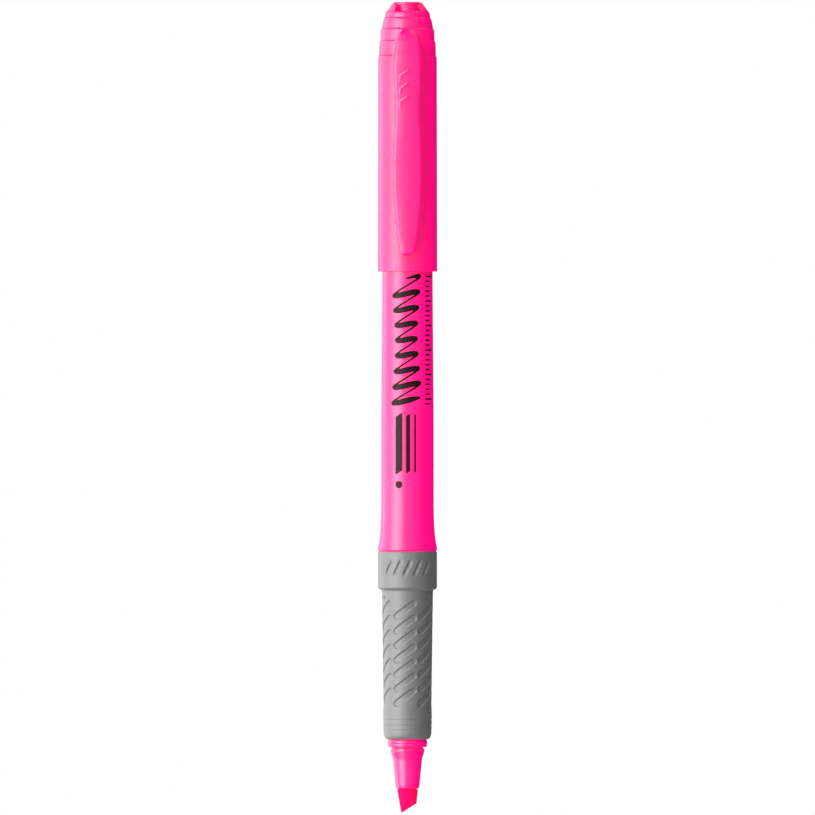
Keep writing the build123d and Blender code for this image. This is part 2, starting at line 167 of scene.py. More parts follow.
def piece(name, points, faces, material, sharp=34):
    """An object made from points in millimetres."""
    mesh = bpy.data.meshes.new(name)
    mesh.from_pydata((np.reshape(points, (-1, 3)) * MM).tolist(), [], [list(map(int, f)) for f in faces])
    tidy_mesh(mesh, sharp)
    mesh.materials.append(material)
    made = bpy.data.objects.new(name, mesh)
    bpy.context.scene.collection.objects.link(made)
    return made


def tidy_mesh(mesh, sharp):
    """Merges doubled points, turns normals outwards, and shades smooth up to this angle in degrees."""
    shape = bmesh.new()
    shape.from_mesh(mesh)
    bmesh.ops.remove_doubles(shape, verts=shape.verts, dist=1e-7)
    bmesh.ops.recalc_face_normals(shape, faces=shape.faces)
    shape.to_mesh(mesh)
    shape.free()
    mesh.shade_smooth()
    mesh.set_sharp_from_angle(angle=radians(sharp))


def polar(radius, angle, height):
    """Points in millimetres at this radius and angle round the pen's axis."""
    radius, angle, height = np.broadcast_arrays(radius, angle, height)
    return np.stack([radius * np.sin(angle), -radius * np.cos(angle), height], -1)


def lathe(name, path, material, segments=192, relief=None, twist=None, sharp=34):
    """A turned solid. path is its section as (radius, height); relief(angle, radius, height) adds to the
    radius, and twist(height) turns the columns of faces so that they run along slanted features."""
    radius, height = np.array(path, float).T[:, :, None]
    angle = np.linspace(0, 2 * pi, segments, endpoint=False)[None, :]
    angle = angle + (twist(height) if twist else 0)
    if relief:
        radius = radius + relief(angle, radius, height)
    closed = not (path[0][0] == 0 and path[-1][0] == 0)
    faces = quads(len(path), segments, rows_closed=closed)
    return piece(name, polar(radius, angle, height), faces, material, sharp)


def place(made, body, slot, *stands_for):
    """Hands a piece to a CAD body, in place of these CAD nodes."""
    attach(made, body)
    if stands_for:
        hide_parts(*stands_for)
    return made


# ---------------------------------------------------------------- materials
class Graph:
    """A node tree with a few short ways to add nodes."""

    def __init__(self, tree):
        self.nodes = tree.nodes
        self.links = tree.links

    def node(self, kind, **settings):
        made = self.nodes.new(kind)
        for key, value in settings.items():
            if hasattr(made, key):
                setattr(made, key, value)
            else:
                made.inputs[key.replace("_", " ")].default_value = value
        return made

    def link(self, output, target):
        self.links.new(output, target)

    def remap(self, value, low, high, to_low=0.0, to_high=1.0):
        found = self.node("ShaderNodeMapRange")
        for slot, number in zip(("From Min", "From Max", "To Min", "To Max"), (low, high, to_low, to_high)):
            found.inputs[slot].default_value = number
        self.link(value, found.inputs["Value"])
        return found.outputs[0]

    def maths(self, operation, *values):
        made = self.node("ShaderNodeMath", operation=operation)
        for slot, value in zip(made.inputs, values):
            if isinstance(value, (int, float)):
                slot.default_value = value
            else:
                self.link(value, slot)
        return made.outputs[0]

    def mix(self, factor, first, second):
        """Colour between first and second, each a colour or another node's output."""
        made = self.node("ShaderNodeMix", data_type="RGBA")
        self.link(factor, made.inputs["Factor"])
        for slot, colour in zip((6, 7), (first, second)):
            if isinstance(colour, tuple):
                made.inputs[slot].default_value = (*colour, 1)
            else:
                self.link(colour, made.inputs[slot])
        return made.outputs[2]


# Cosine of the angle from a face's normal to a softened edge's, where wear starts and where it is full.
EDGE_TURN = (0.995, 0.85)


class Shader(Graph):
    """A node material. Lengths inside it are in millimetres."""

    def __init__(self, name):
        self.material = bpy.data.materials.new(name)
        self.material.use_nodes = True
        super().__init__(self.material.node_tree)
        self.surface = self.nodes["Principled BSDF"]
        self.position = self.node("ShaderNodeVectorMath", operation="SCALE", Scale=1 / MM)
        self.link(self.node("ShaderNodeTexCoord").outputs["Object"], self.position.inputs[0])

    def set(self, **values):
        for key, value in values.items():
            self.surface.inputs[key.replace("_", " ")].default_value = value

    def noise(self, size, detail=2.0, stretch=(1, 1, 1)):
        """Noise from 0 to 1 with grains of this size, drawn out along an axis by stretch."""
        mapping = self.node("ShaderNodeMapping")
        mapping.inputs["Scale"].default_value = [1 / (size * s) for s in stretch]
        self.link(self.position.outputs[0], mapping.inputs["Vector"])
        noise = self.node("ShaderNodeTexNoise", Scale=1.0, Detail=detail, Roughness=0.55)
        self.link(mapping.outputs[0], noise.inputs["Vector"])
        return noise.outputs["Fac"]

    def bumps(self, *layers):
        """Stacks (height, distance in mm) layers into the surface's normal."""
        normal = None
        for height, distance in layers:
            bump = self.node("ShaderNodeBump", Strength=1.0, Distance=distance * MM)
            self.link(height, bump.inputs["Height"])
            if normal:
                self.link(normal, bump.inputs["Normal"])
            normal = bump.outputs[0]
        self.link(normal, self.surface.inputs["Normal"])

    def edges(self, reach):
        """1 along edges narrower than reach, 0 on open faces."""
        bevel = self.node("ShaderNodeBevel", samples=4, Radius=reach * MM)
        face = self.node("ShaderNodeNewGeometry")
        spread = self.node("ShaderNodeVectorMath", operation="DOT_PRODUCT")
        self.link(bevel.outputs[0], spread.inputs[0])
        self.link(face.outputs["Normal"], spread.inputs[1])
        return self.remap(spread.outputs["Value"], *EDGE_TURN)


def scaled(colour, factor):
    return tuple(min(1.0, c * factor) for c in colour)


# How near a wall must be to darken the plastic's painted glow (painted shade), how open the surface is in
# full shade and in none, and how much of the painted glow's red, green and blue full shade leaves.
SHADE_REACH, SHADE_OPEN, SHADE_LEFT = 6.0, (0.84, 0.995), (0.5, 1.0, 0.62)
WORN_PALE, WORN_REACH = 0.03, 0.12
PINK, LINER_PINK = (0.93, 0.0015, 0.050), (0.92, 0.003, 0.09)


def moulded_plastic(name, colour, roughness, painted_glow, texture=0.004):
    """Fluorescent polypropylene: even colour with faint flow marks, a fine mould grain and rubbed edges.
    A constant glow in the colour painted_glow is painted light: it stands in for the pink's fluorescence and
    for fill light. Painted shade dims it in crevices and beside the clip."""
    s = Shader(name)
    flow = s.noise(3.0, 3.0, (1, 1, 4))
    shade = s.mix(s.remap(flow, 0.35, 0.65), scaled(colour, 0.965), scaled(colour, 1.02))
    pale = tuple(c + (1 - c) * WORN_PALE for c in colour)
    rubbed = s.maths("MULTIPLY", s.edges(WORN_REACH), s.remap(s.noise(0.9), 0.4, 0.65, 0.15, 0.8))
    shade = s.mix(rubbed, shade, pale)
    s.link(shade, s.surface.inputs["Base Color"])
    handled = s.remap(s.noise(1.6, 4.0, (1, 1, 2.5)), 0.3, 0.7, roughness - 0.035, roughness + 0.035)
    scuffs = s.remap(s.noise(0.05, 1.0, (1, 3, 40)), 0.62, 0.85, 0.0, 0.06)
    s.link(s.maths("ADD", handled, scuffs), s.surface.inputs["Roughness"])
    s.bumps((s.noise(1.1, 2.0), texture), (s.noise(0.14, 2.0), texture * 0.35))
    # Painted shade: ambient occlusion darkens the painted glow in crevices, under the clip and beside it.
    painted_shade_occlusion = s.node("ShaderNodeAmbientOcclusion", samples=8, Distance=SHADE_REACH * MM)
    painted_shade_glow = tuple(c * left for c, left in zip(painted_glow, SHADE_LEFT))
    glow_with_painted_shade = s.mix(s.remap(painted_shade_occlusion.outputs["AO"], *SHADE_OPEN), painted_shade_glow, painted_glow)
    s.link(glow_with_painted_shade, s.surface.inputs["Emission Color"])
    s.set(IOR=1.49, Emission_Strength=1.0)
    return s.material


def grip_rubber():
    """Grey soft-touch elastomer with a spark-eroded grain, paler where fingers rub its edges."""
    s = Shader("grip_rubber")
    cloud = s.noise(2.2, 3.0)
    grey = s.mix(s.remap(cloud, 0.35, 0.65), (0.079, 0.081, 0.079), (0.090, 0.092, 0.090))
    grain = s.noise(0.16, 3.0)
    grey = s.mix(s.remap(grain, 0.30, 0.42, 1, 0), grey, (0.065, 0.067, 0.066))
    grey = s.mix(s.maths("MULTIPLY", s.edges(0.15), 0.5), grey, (0.17, 0.17, 0.17))
    s.link(grey, s.surface.inputs["Base Color"])
    s.link(s.remap(cloud, 0.3, 0.7, 0.38, 0.46), s.surface.inputs["Roughness"])
    s.bumps((grain, 0.02), (s.noise(0.07, 1.0), 0.008))
    s.set(IOR=1.5, Sheen_Weight=0.12, Sheen_Roughness=0.4)
    # A faint white glow is painted light, lifting the rubber's shaded side as fill.
    s.set(Emission_Color=(1, 1, 1, 1), Emission_Strength=0.038)
    return s.material


def nib_felt():
    """Bonded polyester fibre soaked in ink: fibres along the nib, small pores and darker wet patches."""
    s = Shader("nib_felt")
    fibres = s.noise(0.06, 3.0, (1, 1, 14))
    pores = s.noise(0.11, 2.0, (1, 1, 2.2))
    soaked = s.noise(1.3, 2.0)
    ink = s.mix(s.remap(soaked, 0.35, 0.65), (0.93, 0.0005, 0.050), (0.99, 0.001, 0.070))
    ink = s.mix(s.remap(fibres, 0.42, 0.60, 0, 0.5), ink, (1.0, 0.003, 0.098))
    ink = s.mix(s.remap(pores, 0.36, 0.28, 0, 0.8), ink, (0.62, 0.0, 0.055))
    s.link(ink, s.surface.inputs["Base Color"])
    # The felt glows in its own colour: painted light, standing in for the ink's fluorescence and for fill.
    s.link(ink, s.surface.inputs["Emission Color"])
    s.set(Roughness=0.9, Specular_IOR_Level=0.04, Emission_Strength=0.3)
    s.bumps((fibres, 0.02), (pores, 0.025))
    return s.material


def reservoir_fibre():
    s = Shader("reservoir_fibre")
    strands = s.noise(0.07, 3.0, (1, 1, 60))
    damp = s.noise(4.0, 2.0, (1, 1, 3))
    shade = s.mix(s.remap(damp, 0.35, 0.65), (0.93, 0.03, 0.25), (0.96, 0.12, 0.42))
    shade = s.mix(s.remap(strands, 0.35, 0.6, 0, 0.7), shade, (0.98, 0.35, 0.60))
    s.link(shade, s.surface.inputs["Base Color"])
    s.set(Roughness=0.85, Sheen_Weight=0.3)
    s.bumps((strands, 0.03))
    return s.material


def reservoir_film():
    s = Shader("reservoir_film")
    wrinkles = s.noise(0.8, 3.0, (1, 1, 5))
    shade = s.mix(s.remap(wrinkles, 0.3, 0.7), (0.95, 0.50, 0.72), (0.98, 0.62, 0.80))
    s.link(shade, s.surface.inputs["Base Color"])
    s.set(Roughness=0.12, Transmission_Weight=0.75, IOR=1.45)
    s.bumps((wrinkles, 0.02))
    return s.material


def print_ink():
    """Screen-printed black with slightly uneven cover."""
    s = Shader("print_ink")
    cover = s.noise(0.35, 3.0)
    shade = s.mix(s.remap(cover, 0.35, 0.62), (0.006, 0.003, 0.005), (0.018, 0.005, 0.011))
    s.link(shade, s.surface.inputs["Base Color"])
    s.link(s.remap(cover, 0.3, 0.7, 0.30, 0.42), s.surface.inputs["Roughness"])
    s.set(Specular_IOR_Level=0.09)
    s.bumps((cover, 0.003))
    return s.material


# The last colour given to each plastic is its painted glow.
barrel_pink = moulded_plastic("barrel_plastic", PINK, 0.18, (0.55, 0.0004, 0.198))
cap_pink = moulded_plastic("cap_plastic", PINK, 0.28, (0.52, 0.0004, 0.170), texture=0.006)
holder_pink = moulded_plastic("holder_plastic", PINK, 0.10, (0.38, 0.0004, 0.190), texture=0.0015)
liner_pink = moulded_plastic("inner_cap_plastic", LINER_PINK, 0.35, (0.38, 0.0004, 0.150), texture=0.005)
rubber = grip_rubber()
felt = nib_felt()

# ---------------------------------------------------------------- barrel
FOOT_TOP = COLLAR_TOP + 0.82
FLARE_TOP = COLLAR_TOP + 9.22
FOOT_RADIUS, BARREL_RADIUS = 5.93, 5.26
BORE_START = COLLAR_TOP + 3.02
BARREL_RIB_END = TUBE_END - 15
BARREL_RIB_DEPTH, BARREL_RIB_EDGE = 1.16, (0.36, 0.46)

flare = [
    (FOOT_RADIUS, FOOT_TOP),
    (5.55, FOOT_TOP + 1.3),
    (5.3, FOOT_TOP + 3.9),
    (BARREL_RADIUS, FLARE_TOP),
]
taper = [
    (BARREL_RADIUS, FLARE_TOP),
    (5.235, CAP_MOUTH - 28.8),
    (5.06, CAP_MOUTH - 4.8),
    (POST_RADIUS, CAP_MOUTH + 8.2),
]
barrel_side = np.vstack([bezier(*flare, 26)[:-1], through(taper, 16)])


def barrel_radius(height):
    """The barrel's outside, from its flared foot to its rear."""
    return np.interp(height, barrel_side[:, 1], barrel_side[:, 0])


def centring_ribs(angle, radius, height):
    """Ribs down the bore, which hold the reservoir away from its wall."""
    rib = np.abs(wrap(angle * RIB_COUNT) / RIB_COUNT) * BARREL_BORE
    inside = (np.abs(radius - BARREL_BORE) < 0.01) & (height > BORE_START + 0.1) & (height < BARREL_RIB_END)
    return np.where(inside, -BARREL_RIB_DEPTH * (1 - ease(*BARREL_RIB_EDGE, rib)), 0)


def make_barrel():
    rear = [
        (POST_RADIUS, TUBE_END, 0.25),
        (BARREL_BORE, TUBE_END, 0.1),
        (BARREL_BORE, BARREL_RIB_END + 0.1),
        (BARREL_BORE, BARREL_RIB_END - 0.1),
        (BARREL_BORE, BORE_START + 0.13),
        (BARREL_BORE, BORE_START),
        (NECK_BORE, COLLAR_TOP + 0.8, 0.3),
        (NECK_BORE, NECK_END),
        (NECK_RADIUS, NECK_END, 0.15),
        (NECK_RADIUS, COLLAR_TOP + 0.02),
        (5.74, COLLAR_TOP + 0.02, 0.05),
        (5.92, COLLAR_TOP + 0.3, 0.14),
    ]
    path = np.vstack([barrel_side, softened(rear)])
    return lathe("barrel_tube", path, barrel_pink, 240, relief=centring_ribs)


place(make_barrel(), "barrel", "barrel_plastic", "barrel")

# ---------------------------------------------------------------- nib holder
def make_holder():
    waist = through(
        [
            (3.385, CONE_END + 7.9),
            (3.385, CONE_END + 7.62),
            (3.30, CONE_END + 7.15),
            (3.12, CONE_END + 6.6),
            (2.95, CONE_END + 6.0),
            (2.85, CONE_END + 5.35),
            (2.76, CONE_END + 4.4),
        ],
        5,
    )
    front = [
        (2.37, CONE_END + 0.45, 0.4),
        (2.25, CONE_END, 0.10),
        (NIB_RADIUS + 0.02, CONE_END, 0.06),
        (NIB_RADIUS + 0.02, SPIGOT_END, 0.1),
        (NECK_BORE - 0.22, SPIGOT_END, 0.1),
        (NECK_BORE - 0.02, SPIGOT_END - 0.8, 0.2),
        (NECK_BORE - 0.02, GRIP_END + 0.18, 0.05),
        (RING_RADIUS - 0.19, GRIP_END + 0.18, 0.05),
        (RING_RADIUS - 0.19, GRIP_END - 0.10, 0.05),
        (RING_RADIUS, GRIP_END - 0.62, 0.12),
        (RING_RADIUS, GRIP_END - 0.88, 0.10),
        (RING_RADIUS - 0.07, GRIP_END - 0.98, 0.06),
        (RING_RADIUS - 0.08, GRIP_END - 1.52, 0.12),
        (RING_RADIUS - 0.20, GRIP_END - 1.70, 0.10),
        (3.13, GRIP_END - 1.70, 0.14),
        (3.13, CONE_END + 8.0, 0.12),
        (3.34, CONE_END + 8.0, 0.06),
    ]
    path = np.vstack([waist, softened(front)])
    return lathe("front_holder", path, holder_pink, 192)


place(make_holder(), "barrel", "holder_plastic", "nib_holder")

# ---------------------------------------------------------------- nib
CHISEL_START = CONE_END - 0.17
CHISEL_CORNER, CORNER_RISE = -1.1, 2.2
CHISEL_SLOPE = 0.625
CHISEL_STATIONS = (NIB_TIP, NIB_TIP + 1.6, NIB_TIP + 2.5, CHISEL_START)
CHISEL_WIDTHS = (1.27, 1.53, 1.70, NIB_RADIUS), (1.47, 1.73, 1.88, NIB_RADIUS + 0.04)
CHISEL_FLATS = (0.60, 2.12)
CORNER_POWER = 9
SHANK_GROOVE = 1.86
# The rings of the slanted end face: how far each has shrunk and how far it is raised.
EDGE_LIFT = 0.06
WORN_EDGE = ((0.975, 0.025), (0.92, 0.005), (0.8, 0.0), (0.4, 0.0), (0.0, 0.0))


def make_nib():
    columns, rows = 96, 44
    angle = np.linspace(0, 2 * pi, columns, endpoint=False)
    across, facing = np.sin(angle), np.abs(np.cos(angle))

    def section(height):
        """Distance from the axis at this height: a round nib pared down by two flats."""
        left, right = (np.interp(height, CHISEL_STATIONS, widths) for widths in CHISEL_WIDTHS)
        width = left + (right - left) * ease(-0.3, 0.6, across)
        flat = np.interp(height, [NIB_TIP, CHISEL_START - 0.25], CHISEL_FLATS)
        return ((1 / width) ** CORNER_POWER + (facing / flat) ** CORNER_POWER) ** (-1 / CORNER_POWER)

    def end_height(x):
        """The writing edge: a slope, with its leading corner rounded."""
        corner = np.clip(CHISEL_CORNER - x, 0, None)
        return NIB_TIP + CHISEL_SLOPE * np.clip(x - CHISEL_CORNER, 0, None) + CORNER_RISE * corner**2

    shank = [
        (0, NIB_REAR),
        (NIB_RADIUS - 0.75, NIB_REAR),
        (NIB_RADIUS, NIB_REAR - 0.8),
        (NIB_RADIUS, CONE_END + 0.1),
        (SHANK_GROOVE, CONE_END + 0.04),
        (SHANK_GROOVE, CONE_END - 0.12),
        (NIB_RADIUS, CHISEL_START),
    ]
    rings = [polar(radius, angle, height) for radius, height in shank]
    for share in np.linspace(0, 1, rows)[1:]:
        height = np.full(columns, CHISEL_START)
        # The end's height depends on the width there, so a few rounds bring the two together.
        for _ in range(4):
            height = CHISEL_START + share * (end_height(section(height) * across) - CHISEL_START)
        rings.append(polar(section(height), angle, height))
    # The worn writing edge rolls over into the slanted end face.
    edge = rings[-1]
    middle = edge.mean(0)
    rings[-1] = edge + (0, 0, EDGE_LIFT)
    for inset, rise in WORN_EDGE:
        rings.append(middle + (edge - middle) * inset + (0, 0, rise))
    return piece("felt_nib", np.array(rings), quads(len(rings), columns, rows_closed=False), felt, 40)


place(make_nib(), "barrel", "nib_felt", "nib")

# ---------------------------------------------------------------- grip sleeve
# Slanted pockets in columns down the grip, dimples under the collar, slanted bars on it and fine grooves.
POCKET_COLUMNS, POCKET_ROWS, POCKET_PITCH = 6, 7, 2.9
POCKET_FIRST_ANGLE, POCKET_FIRST_ROW = radians(-6.5), SHOULDER - 4.1
POCKET_SLANT, POCKET_HALF, POCKET_RADIUS = radians(36), 2.185, 0.69
POCKET_DEPTH, POCKET_SOFT = 0.24, 0.2
DIMPLE_EDGE, DIMPLE_DEPTH, DIMPLE_HEIGHT = (0.2, 0.38), 0.6, SHOULDER - 1.55
MARK_SLANT, MARK_HALF, MARK_RADIUS = radians(62), 1.075, 0.375
MARK_DEPTH, MARK_SOFT = 0.32, 0.13
MARK_COUNT, MARK_SPACING, MARK_HEIGHT = 5, radians(20), 0.5
COLLAR_RADIUS, GRIP_RADIUS, SLEEVE_SKIN, SLEEVE_BORE = 5.9, 5.0, 4.2, 4.05
FINE_STEP, GRIP_STEP, PLAIN_STEP = 0.075, 0.13, 0.4
# The rubber's front edge hangs a little past the CAD sleeve's, over the holder's ring.
NOSE_END = GRIP_END - 0.12
BAND_GROOVES = (GRIP_END + 3.77, GRIP_END + 2.65, GRIP_END + 1.65)
GROOVE_EDGE, GROOVE_DEPTH = (0.03, 0.2), 0.06


def slot_depth(u, v, slant, half, radius, soft):
    """How deep, from 0 to 1, a round-ended slot is at (u, v) from its centre."""
    along = u * cos(slant) + v * sin(slant)
    across = v * cos(slant) - u * sin(slant)
    outside = np.hypot(np.clip(np.abs(along) - half, 0, None), across) - radius
    return 1 - ease(-soft, 0.02, outside)


def grip_relief(angle, radius, height):
    """Everything that is sunk into the sleeve's outside."""
    cut = np.zeros(np.broadcast(angle, height).shape)
    for column in range(POCKET_COLUMNS):
        u = wrap(angle - POCKET_FIRST_ANGLE - column * 2 * pi / POCKET_COLUMNS) * radius
        for row in range(POCKET_ROWS):
            v = height - POCKET_FIRST_ROW + row * POCKET_PITCH
            pocket = slot_depth(u, v, POCKET_SLANT, POCKET_HALF, POCKET_RADIUS, POCKET_SOFT)
            cut = np.maximum(cut, POCKET_DEPTH * pocket)
        if column % 2:
            dimple = 1 - ease(*DIMPLE_EDGE, np.hypot(u, height - DIMPLE_HEIGHT))
            cut = np.maximum(cut, DIMPLE_DEPTH * dimple)
    for mark in range(MARK_COUNT):
        u = wrap(angle - (mark - (MARK_COUNT - 1) / 2) * MARK_SPACING) * radius
        bar = slot_depth(u, height - MARK_HEIGHT, MARK_SLANT, MARK_HALF, MARK_RADIUS, MARK_SOFT)
        cut = np.maximum(cut, MARK_DEPTH * bar)
    for groove in BAND_GROOVES:
        cut = np.maximum(cut, GROOVE_DEPTH * (1 - ease(*GROOVE_EDGE, np.abs(height - groove))))
    return np.where(radius > SLEEVE_SKIN, -cut, 0)


def grip_twist(height):
    """Columns of faces lean with the pockets below the collar and with the bars on it."""
    lean, bar_lean = 1 / (GRIP_RADIUS * tan(POCKET_SLANT)), 1 / (COLLAR_RADIUS * tan(MARK_SLANT))
    knots = [GRIP_END + 6.2, SHOULDER - 0.9, SHOULDER + 1.6, COLLAR_TOP - 0.6]
    turn = np.cumsum([0, (knots[1] - knots[0]) * lean, 0, (knots[3] - knots[2]) * bar_lean])
    return np.interp(height, knots, turn)


def make_grip():
    corners = [
        (SLEEVE_BORE, COLLAR_TOP),
        (COLLAR_RADIUS, COLLAR_TOP, 0.16),
        (COLLAR_RADIUS, SHOULDER + 0.36, 0.14),
        (5.72, SHOULDER + 0.12, 0.10),
        (5.15, SHOULDER - 0.10, 0.16),
        (5.1, SHOULDER - 0.45, 0.2),
        (4.79, GRIP_END + 6.9, 0.8),
        (4.865, GRIP_END + 5.0, 0.8),
        (4.82, GRIP_END + 1.3, 0.5),
        (4.66, NOSE_END + 0.48, 0.45),
        (4.26, NOSE_END, 0.3),
        (SLEEVE_BORE, NOSE_END, 0.05),
    ]
    path = softened(corners, 5)
    rows = []
    for here, after in zip(path, np.roll(path, -1, axis=0)):
        # Rows are close together where there are pockets, bars or grooves.
        low, top = sorted((here[1], after[1]))
        step = GRIP_STEP if low < SHOULDER - 1 or low > SHOULDER + 1.9 else PLAIN_STEP
        if top < GRIP_END + 5.2:
            step = FINE_STEP
        outer = min(here[0], after[0]) > SLEEVE_SKIN
        count = max(1, int(np.ceil((top - low) / step))) if outer else 1
        rows += [here + (after - here) * t for t in np.linspace(0, 1, count, endpoint=False)]
    return lathe("grip_rubber_sleeve", rows, rubber, 256, grip_relief, grip_twist, sharp=60)


place(make_grip(), "barrel", "grip_rubber", "grip_sleeve")

# ---------------------------------------------------------------- cap shell
TERRACES = [
    ((CAP_MOUTH_RADIUS, CAP_MOUTH), (5.87, CROWN - 11.6)),
    ((5.69, CROWN - 10.8), (5.64, CROWN - 8.6)),
    ((5.42, CROWN - 7.8), (5.37, CROWN - 6.2)),
    ((5.12, CROWN - 5.35), (4.92, CROWN - 4.2)),
    ((4.57, CROWN - 3.2), (4.5, CROWN - 2.7)),
    ((4.3, CROWN - 2.15), (3.08, CROWN - 0.5)),
    ((2.36, CROWN - 0.1), (0.8, CROWN - 0.1)),
]
POST_RIBS, POST_RIB_DEPTH, POST_RIB_EDGE = (CAP_MOUTH + 10.0, CAP_MOUTH + 24.0), 0.18, (0.40, 0.52)
FRONT_WINDOW, BACK_WINDOW = (-2.5, 3.28), (-1.9, 1.9)
WINDOW_FLOOR, WINDOW_SILL, WINDOW_HEAD = 1.2, 1.97, 0.6
WINDOW_REACH, WINDOW_TOP, WINDOW_STEPS = 4.6, 0.3, 41
DISC_RADIUS, DISC_DIMPLE = 2.65, 0.18
SEAT_RADIUS, SEAT_BORE = 5.14, 5.04
CREASE = 0.08


def cap_outside():
    """The terraces from the mouth to the crown, with a fine crease at the foot of each."""
    path = [np.array(TERRACES[0][0])]
    for (foot, top), (above, _) in zip(TERRACES, TERRACES[1:]):
        lean = np.array(top) - np.array(foot)
        path += list(np.linspace(foot, top, 5)[1:])
        path += list(tangent_arc(top, above, lean, 7))
        if above[1] < CROWN - 1:
            path[-1] = path[-1] - (CREASE, 0.02)
            path.append(np.array((above[0] - CREASE * 0.1, above[1] + 0.08)))
    return path


def post_ribs(angle, radius, height):
    """Low ribs in the cap's bore, which grip the rear of the barrel."""
    rib = np.abs(wrap(angle * RIB_COUNT) / RIB_COUNT) * CAP_BORE
    inside = (np.abs(radius - CAP_BORE) < 0.01) & (height > POST_RIBS[0]) & (height < POST_RIBS[1])
    return np.where(inside, -POST_RIB_DEPTH * (1 - ease(*POST_RIB_EDGE, rib)), 0)


def window_cutter(sides, turn):
    """One of the openings under the crown's disc. Its ends run straight in, as a mould's side core leaves
    them, and its floor goes round the inner cap's stem."""
    across = np.linspace(*sides, WINDOW_STEPS)

    def wall(radius):
        return -np.sqrt(np.maximum(radius**2 - across**2, WINDOW_FLOOR**2))

    stem, disc, outside = wall(STEM_RADIUS + 0.15), wall(DISC_RADIUS), np.full(WINDOW_STEPS, -WINDOW_REACH)
    corners = [
        (stem, -WINDOW_SILL),
        (outside, -WINDOW_SILL),
        (outside, WINDOW_TOP),
        (disc, WINDOW_TOP),
        (disc, -WINDOW_HEAD),
        (stem, -WINDOW_HEAD),
    ]
    edges = [np.stack([across, y, np.full(WINDOW_STEPS, CROWN + height)], -1) for y, height in corners]
    points = np.stack(edges, 1) @ np.diag((turn, turn, 1))
    return piece("window_cutter", points, capped_quads(WINDOW_STEPS, len(corners)), cap_pink)


def cut_out(made, cutters):
    """Cuts the cutters from a piece for good, and removes them."""
    for cutter in cutters:
        cut = made.modifiers.new("cut", "BOOLEAN")
        cut.operation = "DIFFERENCE"
        cut.solver = "EXACT"
        cut.object = cutter
    solid = bpy.data.meshes.new_from_object(made.evaluated_get(bpy.context.evaluated_depsgraph_get()))
    made.modifiers.clear()
    made.data = solid
    for cutter in cutters:
        bpy.data.objects.remove(cutter)
    tidy_mesh(solid, 34)
    return made


def make_cap():
    corners = [
        (0.0, CROWN - 1.95),
        (PIN_RADIUS, CROWN - 1.95, 0.12),
        (PIN_RADIUS, CROWN - 0.55, 0.05),
        (2.3, CROWN - 0.55, 0.05),
        (2.3, CROWN - 0.9),
        (3.62, CROWN - 2.8, 0.2),
        (5.0, CROWN - 12.8, 0.2),
        (5.0, SEAL_LIP + 1.53),
        (SEAT_RADIUS, SEAL_LIP + 1.53),
        (SEAT_RADIUS, SEAL_LIP - 0.03),
        (SEAT_BORE, SEAL_LIP - 0.12),
        (SEAT_BORE, SEAL_LIP - 0.4),
        (CAP_BORE, SEAL_LIP - 0.7),
        (CAP_BORE, POST_RIBS[1] + 0.1),
        (CAP_BORE, POST_RIBS[1] - 0.1),
        (CAP_BORE, POST_RIBS[0] + 0.1),
        (CAP_BORE, POST_RIBS[0] - 0.1),
        (CAP_BORE, CAP_MOUTH + 0.5, 0.15),
        (CAP_BORE + 0.18, CAP_MOUTH, 0.1),
        (CAP_MOUTH_RADIUS, CAP_MOUTH, 0.07),
        (CAP_MOUTH_RADIUS - 0.001, CAP_MOUTH + 0.3),
    ]
    outside = cap_outside()[1:]
    centre = [(PIN_RADIUS, CROWN - 0.1), (0.55, CROWN - DISC_DIMPLE + 0.02), (0.0, CROWN - DISC_DIMPLE)]
    path = np.vstack([softened(corners), outside[:-1], centre])
    made = lathe("vented_cap", path, cap_pink, 240, relief=post_ribs)
    return cut_out(made, [window_cutter(FRONT_WINDOW, 1), window_cutter(BACK_WINDOW, -1)])


place(make_cap(), "cap", "cap_plastic", "cap_shell")

# ---------------------------------------------------------------- clip
FLANK_WIDTHS, FLANK_DROP, FACE_CROWN = (0.62, 0.85), 0.46, 0.24
BLADE_INNER, HINGE_OUT = 6.85, 7.6
NUB_HEIGHT, NUB_RISE, NUB_LENGTH = CLIP_TIP + 3.4, 0.83, 1.5
TOE, TOE_ROLL, TOE_DROP, TOE_INNER = 1.1, 0.5, 0.8, 7.02
CLIP_RIBS, RIB_PITCH, RIB_HEIGHT, RIB_SLANT = 3, 2.6, 0.11, radians(36)
RIB_START = (-1.74, HINGE - 1.92)
RIB_EDGE, RIB_CREST, RIB_FOOT = 0.32, 0.7, (0.5, 1.5)
TIP_ROWS_END, BLADE_STEP, RIB_STEP = 1.3, 0.33, 0.075
FACE_COLUMNS, BACK_COLUMNS = 65, 29
FLANK_SHARES = (0.12, 0.3, 0.55, 0.78, 0.92, 0.985)
SIDE_SHARES = (0.10, 0.3, 0.55, 0.8, 0.93)
ARCH = [(2.98, CLIP_TOP - 7.7), (2.98, CLIP_TOP - 4.6), (2.6, CLIP_TOP - 1.3), (1.0, CLIP_TOP)]


def clip_half_width(height):
    """Half the clip's width: a leaf with a rounded tip, and an arch where it runs into the cap."""
    blade = [
        (1.66, CLIP_TIP + TOE),
        (2.03, CLIP_TIP + 2.9),
        (2.5, CLIP_TIP + 6.3),
        (2.93, CLIP_TIP + 12.5),
        (3.03, CLIP_TIP + 17.7),
        (2.9, CLIP_TIP + 22.4),
        (2.65, CLIP_TIP + 27.0),
        (2.65, CLIP_TIP + 30.7),
        (2.8, CLIP_TIP + 33.8),
        ARCH[0],
    ]
    outline = np.vstack([through(blade, 10)[:-1], bezier(*ARCH, 24)])
    toe = np.clip((height - CLIP_TIP) / TOE, 0, 1)
    rounded = blade[0][0] * np.sqrt(1 - (1 - toe) ** 2) ** 0.9
    return np.where(height < CLIP_TIP + TOE, rounded, np.interp(height, outline[:, 1], outline[:, 0]))


